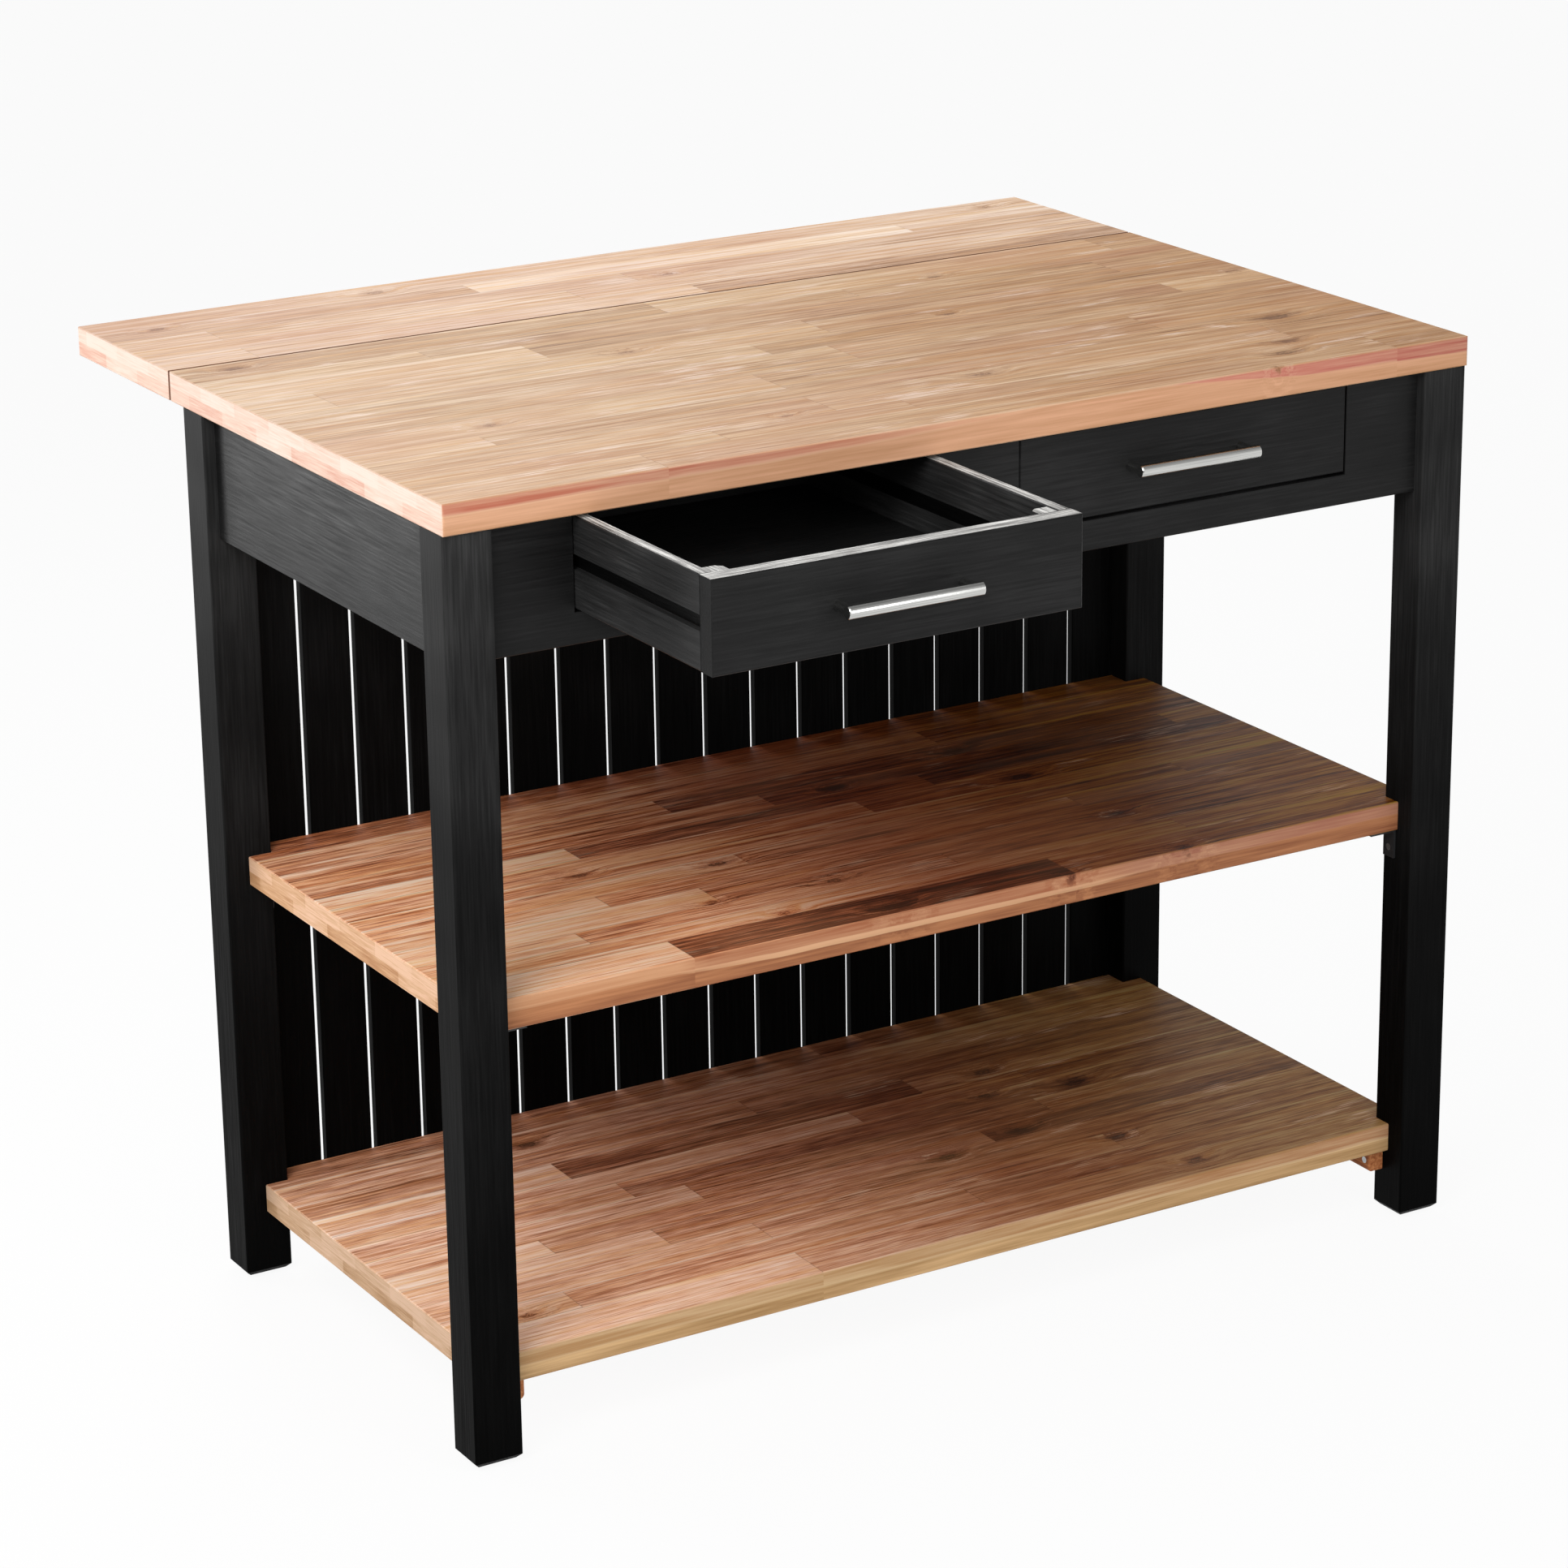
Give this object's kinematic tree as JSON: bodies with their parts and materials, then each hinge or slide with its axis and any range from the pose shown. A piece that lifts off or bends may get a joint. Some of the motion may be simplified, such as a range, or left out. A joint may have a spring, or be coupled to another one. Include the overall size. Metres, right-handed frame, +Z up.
{
  "type": "kitchen island unit",
  "caption": "Free-standing kitchen island with a hardwood worktop and rear drop leaf, side-hung drawers, open shelves and a slatted back on square painted legs.",
  "frame": {"origin": "on the floor, under the middle of the unit as stored, with the leaf up and the left drawer pulled out", "axes": "+X to the right along the worktop, +Y from the drawers to the slatted back, +Z up"},
  "size_m": [1.09, 1.0305, 0.904],
  "materials": {
    "top_hardwood": "laminated hardwood staves, oiled, satin",
    "shelf_hardwood": "laminated hardwood staves, darker, oiled, satin",
    "black_paint": "wood under near-black satin paint, with a little of the grain showing",
    "bare_wood": "planed bare wood",
    "brushed_steel": "brushed stainless steel",
    "zinc_steel": "zinc-plated steel, dull",
    "black_steel": "black powder coat, satin",
    "nylon": "black nylon, matt"
  },
  "bodies": {
    "frame": {"worktop": "top_hardwood", "leg_front_left": "black_paint", "leg_front_right": "black_paint", "leg_back_left": "black_paint", "leg_back_right": "black_paint", "foot_glides": "nylon", "front_apron": "black_paint", "side_apron_left": "black_paint", "side_apron_right": "black_paint", "rear_apron": "black_paint", "corner_braces": "zinc_steel", "brace_bolts": "zinc_steel", "middle_shelf": "shelf_hardwood", "bottom_shelf": "shelf_hardwood", "batten_left": "bare_wood", "batten_right": "bare_wood", "angle_brackets": "black_steel", "back_slats": "black_paint", "frame_screws": "zinc_steel", "bearer_left_outer": "black_paint", "bearer_left_inner": "black_paint", "bearer_right_inner": "black_paint", "bearer_right_outer": "black_paint", "runner_left_outer": "bare_wood", "runner_left_inner": "bare_wood", "runner_right_inner": "bare_wood", "runner_right_outer": "bare_wood", "hinge_fixed_1": "zinc_steel", "hinge_fixed_2": "zinc_steel", "hinge_fixed_3": "zinc_steel", "hinge_pins": "zinc_steel", "strut_rivets": "zinc_steel", "wall_plate_left": "zinc_steel", "wall_plate_right": "zinc_steel"},
    "leaf": {"drop_leaf": "top_hardwood", "hinge_leaf_1": "zinc_steel", "hinge_leaf_2": "zinc_steel", "hinge_leaf_3": "zinc_steel", "leaf_channel_left": "zinc_steel", "leaf_channel_right": "zinc_steel", "leaf_screws": "zinc_steel"},
    "leaf_struts": {"strut_left": "zinc_steel", "strut_right": "zinc_steel"},
    "drawer_left": {"drawer_left_front": "black_paint", "drawer_left_side_left": "black_paint", "drawer_left_side_right": "black_paint", "drawer_left_back": "black_paint", "drawer_left_bottom": "black_paint", "drawer_left_glue_blocks": "black_paint", "drawer_left_handle": "brushed_steel", "drawer_left_handle_screws": "zinc_steel"},
    "drawer_right": {"drawer_right_front": "black_paint", "drawer_right_side_left": "black_paint", "drawer_right_side_right": "black_paint", "drawer_right_back": "black_paint", "drawer_right_bottom": "black_paint", "drawer_right_glue_blocks": "black_paint", "drawer_right_handle": "brushed_steel", "drawer_right_handle_screws": "zinc_steel"}
  },
  "joints": [
    {"name": "leaf_hinge", "type": "hinge", "parent": "frame", "child": "leaf", "pos_m": [0, 0.2975, 0.8725], "axis": [1, 0, 0], "range_deg": [-90, 0]},
    {"name": "strut_pivot", "type": "hinge", "parent": "frame", "child": "leaf_struts", "pos_m": [0, 0.27675, 0.7975], "axis": [1, 0, 0], "range_deg": [-117, 0]},
    {"name": "drawer_left_slide", "type": "slide", "parent": "frame", "child": "drawer_left", "axis": [0, -1, 0], "range_m": [-0.236, 0.094]},
    {"name": "drawer_right_slide", "type": "slide", "parent": "frame", "child": "drawer_right", "axis": [0, -1, 0], "range_m": [0, 0.33]}
  ],
  "couplings": [
    {"joint": "strut_pivot", "follows": "leaf_hinge", "ratio": 1.2977}
  ]
}
